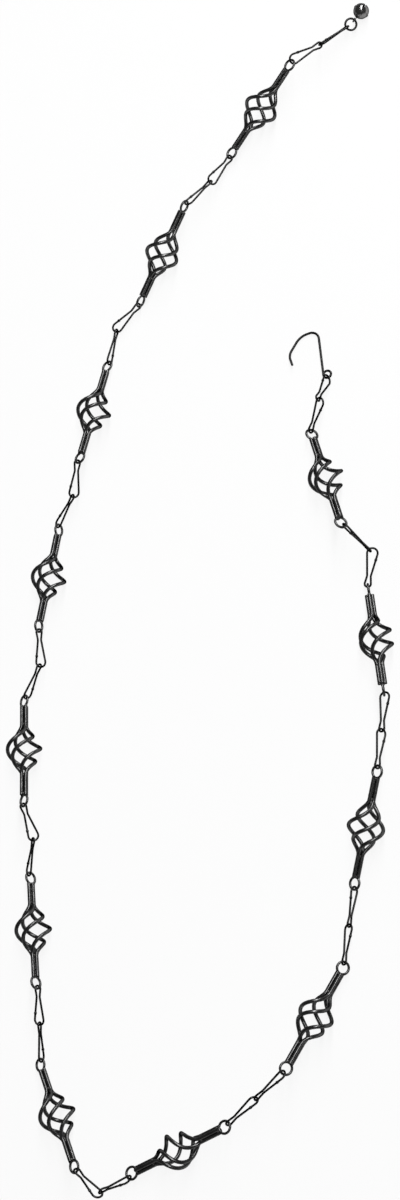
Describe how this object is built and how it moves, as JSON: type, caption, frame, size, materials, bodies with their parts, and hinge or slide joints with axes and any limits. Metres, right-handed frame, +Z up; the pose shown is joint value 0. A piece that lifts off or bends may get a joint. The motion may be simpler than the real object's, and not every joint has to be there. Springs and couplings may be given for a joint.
{
  "type": "rain chain",
  "caption": "Rain chain lying in a loose curve: twisted open baskets of iron rods joined by hourglass wire links, with a hook at the top and a small round bell at the foot.",
  "frame": {"origin": "middle of the lying chain's box, on the floor", "axes": "+Z up, +Y the long way of the lying chain, from its bend towards the bell"},
  "size_m": [0.4206, 1.3052, 0.0421],
  "materials": {
    "black_iron": "satin black",
    "bell_metal": "dark polished",
    "pea_steel": "plain"
  },
  "bodies": {
    "hanging_hook": {"hanging_hook": "black_iron"},
    "link_01": {"link_01": "black_iron"},
    "link_02": {"link_02": "black_iron"},
    "basket_01": {"basket_01": "black_iron"},
    "link_03": {"link_03": "black_iron"},
    "link_04": {"link_04": "black_iron"},
    "basket_02": {"basket_02": "black_iron"},
    "link_05": {"link_05": "black_iron"},
    "link_06": {"link_06": "black_iron"},
    "basket_03": {"basket_03": "black_iron"},
    "link_07": {"link_07": "black_iron"},
    "link_08": {"link_08": "black_iron"},
    "basket_04": {"basket_04": "black_iron"},
    "link_09": {"link_09": "black_iron"},
    "link_10": {"link_10": "black_iron"},
    "basket_05": {"basket_05": "black_iron"},
    "link_11": {"link_11": "black_iron"},
    "link_12": {"link_12": "black_iron"},
    "basket_06": {"basket_06": "black_iron"},
    "link_13": {"link_13": "black_iron"},
    "link_14": {"link_14": "black_iron"},
    "basket_07": {"basket_07": "black_iron"},
    "link_15": {"link_15": "black_iron"},
    "link_16": {"link_16": "black_iron"},
    "basket_08": {"basket_08": "black_iron"},
    "link_17": {"link_17": "black_iron"},
    "link_18": {"link_18": "black_iron"},
    "basket_09": {"basket_09": "black_iron"},
    "link_19": {"link_19": "black_iron"},
    "link_20": {"link_20": "black_iron"},
    "basket_10": {"basket_10": "black_iron"},
    "link_21": {"link_21": "black_iron"},
    "link_22": {"link_22": "black_iron"},
    "basket_11": {"basket_11": "black_iron"},
    "link_23": {"link_23": "black_iron"},
    "link_24": {"link_24": "black_iron"},
    "basket_12": {"basket_12": "black_iron"},
    "link_25": {"link_25": "black_iron"},
    "link_26": {"link_26": "black_iron"},
    "bell_ring": {"bell_ring": "black_iron"},
    "bell": {"bell": "bell_metal", "bell_pea": "pea_steel"}
  },
  "joints": [
    {"name": "link_01_swing", "type": "hinge", "parent": "hanging_hook", "child": "link_01", "pos_m": [0.11925, 0.21413, 0.00748], "axis": [-0.9925, 0.1186, -0.0307], "range_deg": [-45, 45]},
    {"name": "link_02_swing", "type": "hinge", "parent": "link_01", "child": "link_02", "pos_m": [0.11593, 0.1849, 0.025], "axis": [0.732, 0.3102, 0.6065], "range_deg": [-45, 45]},
    {"name": "basket_01_swing", "type": "hinge", "parent": "link_02", "child": "basket_01", "pos_m": [0.10537, 0.15605, 0.00715], "axis": [-0.8035, 0.0156, 0.595], "range_deg": [-45, 45]},
    {"name": "link_03_swing", "type": "hinge", "parent": "basket_01", "child": "link_03", "pos_m": [0.15362, 0.04125, 0.0287], "axis": [0.4054, 0.6576, -0.635], "range_deg": [-45, 45]},
    {"name": "link_04_swing", "type": "hinge", "parent": "link_03", "child": "link_04", "pos_m": [0.178, 0.01782, 0.0206], "axis": [-0.6916, -0.7221, 0.0156], "range_deg": [-45, 45]},
    {"name": "basket_02_swing", "type": "hinge", "parent": "link_04", "child": "basket_02", "pos_m": [0.17623, -0.01945, 0.00965], "axis": [0.9466, 0.1659, -0.2766], "range_deg": [-45, 45]},
    {"name": "link_05_swing", "type": "hinge", "parent": "basket_02", "child": "link_05", "pos_m": [0.20274, -0.13618, 0.02921], "axis": [-0.8939, -0.2739, -0.3549], "range_deg": [-45, 45]},
    {"name": "link_06_swing", "type": "hinge", "parent": "link_05", "child": "link_06", "pos_m": [0.20217, -0.17672, 0.02984], "axis": [0.9255, -0.0566, 0.3746], "range_deg": [-45, 45]},
    {"name": "basket_03_swing", "type": "hinge", "parent": "link_06", "child": "basket_03", "pos_m": [0.19978, -0.21184, 0.03057], "axis": [-0.8783, 0.0511, -0.4753], "range_deg": [-45, 45]},
    {"name": "link_07_swing", "type": "hinge", "parent": "basket_03", "child": "link_07", "pos_m": [0.17591, -0.33498, 0.0085], "axis": [0.8775, -0.0825, 0.4725], "range_deg": [-45, 45]},
    {"name": "link_08_swing", "type": "hinge", "parent": "link_07", "child": "link_08", "pos_m": [0.17233, -0.36996, 0.00878], "axis": [-0.7848, 0.0698, -0.6157], "range_deg": [-45, 45]},
    {"name": "basket_04_swing", "type": "hinge", "parent": "link_08", "child": "basket_04", "pos_m": [0.1688, -0.40767, 0.00938], "axis": [0.8022, -0.0818, -0.5914], "range_deg": [-45, 45]},
    {"name": "link_09_swing", "type": "hinge", "parent": "basket_04", "child": "link_09", "pos_m": [0.11675, -0.52133, 0.03193], "axis": [-0.6008, 0.6105, 0.516], "range_deg": [-45, 45]},
    {"name": "link_10_swing", "type": "hinge", "parent": "link_09", "child": "link_10", "pos_m": [0.09019, -0.54807, 0.03184], "axis": [0.4835, -0.5655, 0.6681], "range_deg": [-45, 45]},
    {"name": "basket_05_swing", "type": "hinge", "parent": "link_10", "child": "basket_05", "pos_m": [0.06443, -0.57201, 0.03035], "axis": [-0.6577, 0.7207, -0.2189], "range_deg": [-45, 45]},
    {"name": "link_11_swing", "type": "hinge", "parent": "basket_05", "child": "link_11", "pos_m": [-0.0454, -0.631, 0.00813], "axis": [0.7748, -0.5862, 0.2368], "range_deg": [-45, 45]},
    {"name": "link_12_swing", "type": "hinge", "parent": "link_11", "child": "link_12", "pos_m": [-0.06413, -0.64533, 0.03274], "axis": [-0.7457, 0.6382, -0.1914], "range_deg": [-45, 45]},
    {"name": "basket_06_swing", "type": "hinge", "parent": "link_12", "child": "basket_06", "pos_m": [-0.09177, -0.62707, 0.03139], "axis": [-0.5363, -0.758, -0.3711], "range_deg": [-45, 45]},
    {"name": "link_13_swing", "type": "hinge", "parent": "basket_06", "child": "link_13", "pos_m": [-0.14883, -0.51691, 0.00912], "axis": [0.8699, -0.1072, 0.4814], "range_deg": [-45, 45]},
    {"name": "link_14_swing", "type": "hinge", "parent": "link_13", "child": "link_14", "pos_m": [-0.15, -0.48306, 0.01734], "axis": [-0.9666, 0.0387, -0.2534], "range_deg": [-45, 45]},
    {"name": "basket_07_swing", "type": "hinge", "parent": "link_14", "child": "basket_07", "pos_m": [-0.15176, -0.44404, 0.02857], "axis": [0.9102, 0.2553, 0.3262], "range_deg": [-45, 45]},
    {"name": "link_15_swing", "type": "hinge", "parent": "basket_07", "child": "link_15", "pos_m": [-0.17772, -0.32717, 0.00887], "axis": [-0.6614, -0.273, -0.6986], "range_deg": [-45, 45]},
    {"name": "link_16_swing", "type": "hinge", "parent": "link_15", "child": "link_16", "pos_m": [-0.17282, -0.29169, 0.01861], "axis": [0.7767, 0.0527, -0.6276], "range_deg": [-45, 45]},
    {"name": "basket_08_swing", "type": "hinge", "parent": "link_16", "child": "basket_08", "pos_m": [-0.18209, -0.25716, 0.03011], "axis": [-0.8175, -0.0528, -0.5736], "range_deg": [-45, 45]},
    {"name": "link_17_swing", "type": "hinge", "parent": "basket_08", "child": "link_17", "pos_m": [-0.19711, -0.13372, 0.01015], "axis": [0.6939, -0.4903, 0.5274], "range_deg": [-45, 45]},
    {"name": "link_18_swing", "type": "hinge", "parent": "link_17", "child": "link_18", "pos_m": [-0.18199, -0.10318, 0.01787], "axis": [-0.8995, 0.4369, 0.0061], "range_deg": [-45, 45]},
    {"name": "basket_09_swing", "type": "hinge", "parent": "link_18", "child": "basket_09", "pos_m": [-0.18137, -0.06413, 0.02761], "axis": [0.994, -0.0327, 0.1047], "range_deg": [-45, 45]},
    {"name": "link_19_swing", "type": "hinge", "parent": "basket_09", "child": "link_19", "pos_m": [-0.17597, 0.05535, 0.00858], "axis": [-0.8154, -0.064, -0.5753], "range_deg": [-45, 45]},
    {"name": "link_20_swing", "type": "hinge", "parent": "link_19", "child": "link_20", "pos_m": [-0.15749, 0.08872, 0.01881], "axis": [0.7562, -0.3258, 0.5674], "range_deg": [-45, 45]},
    {"name": "basket_10_swing", "type": "hinge", "parent": "link_20", "child": "basket_10", "pos_m": [-0.15103, 0.12152, 0.02955], "axis": [-0.832, 0.3041, -0.464], "range_deg": [-45, 45]},
    {"name": "link_21_swing", "type": "hinge", "parent": "basket_10", "child": "link_21", "pos_m": [-0.13141, 0.24539, 0.0074], "axis": [0.8783, -0.1623, 0.4498], "range_deg": [-45, 45]},
    {"name": "link_22_swing", "type": "hinge", "parent": "link_21", "child": "link_22", "pos_m": [-0.12536, 0.28001, 0.00733], "axis": [-0.9847, 0.1734, 0.0163], "range_deg": [-45, 45]},
    {"name": "basket_11_swing", "type": "hinge", "parent": "link_22", "child": "basket_11", "pos_m": [-0.10056, 0.3113, 0.00836], "axis": [0.8929, -0.4494, -0.0266], "range_deg": [-45, 45]},
    {"name": "link_23_swing", "type": "hinge", "parent": "basket_11", "child": "link_23", "pos_m": [-0.0463, 0.41803, 0.02824], "axis": [-0.744, 0.4765, -0.4683], "range_deg": [-45, 45]},
    {"name": "link_24_swing", "type": "hinge", "parent": "link_23", "child": "link_24", "pos_m": [-0.02266, 0.44926, 0.01688], "axis": [0.8289, -0.3623, 0.4263], "range_deg": [-45, 45]},
    {"name": "basket_12_swing", "type": "hinge", "parent": "link_24", "child": "basket_12", "pos_m": [-0.00544, 0.47879, 0.00844], "axis": [-0.8441, 0.3857, -0.3725], "range_deg": [-45, 45]},
    {"name": "link_25_swing", "type": "hinge", "parent": "basket_12", "child": "link_25", "pos_m": [0.06931, 0.57927, 0.03136], "axis": [0.6265, -0.7157, 0.3086], "range_deg": [-45, 45]},
    {"name": "link_26_swing", "type": "hinge", "parent": "link_25", "child": "link_26", "pos_m": [0.09608, 0.59991, 0.02284], "axis": [-0.5543, 0.4225, -0.7171], "range_deg": [-45, 45]},
    {"name": "bell_ring_swing", "type": "hinge", "parent": "link_26", "child": "bell_ring", "pos_m": [0.12243, 0.62465, 0.0112], "axis": [0.4515, -0.721, -0.5256], "range_deg": [-45, 45]},
    {"name": "bell_swing", "type": "hinge", "parent": "bell_ring", "child": "bell", "pos_m": [0.13125, 0.6334, 0.01046], "axis": [-0.6715, 0.503, 0.5441], "range_deg": [-45, 45]}
  ]
}
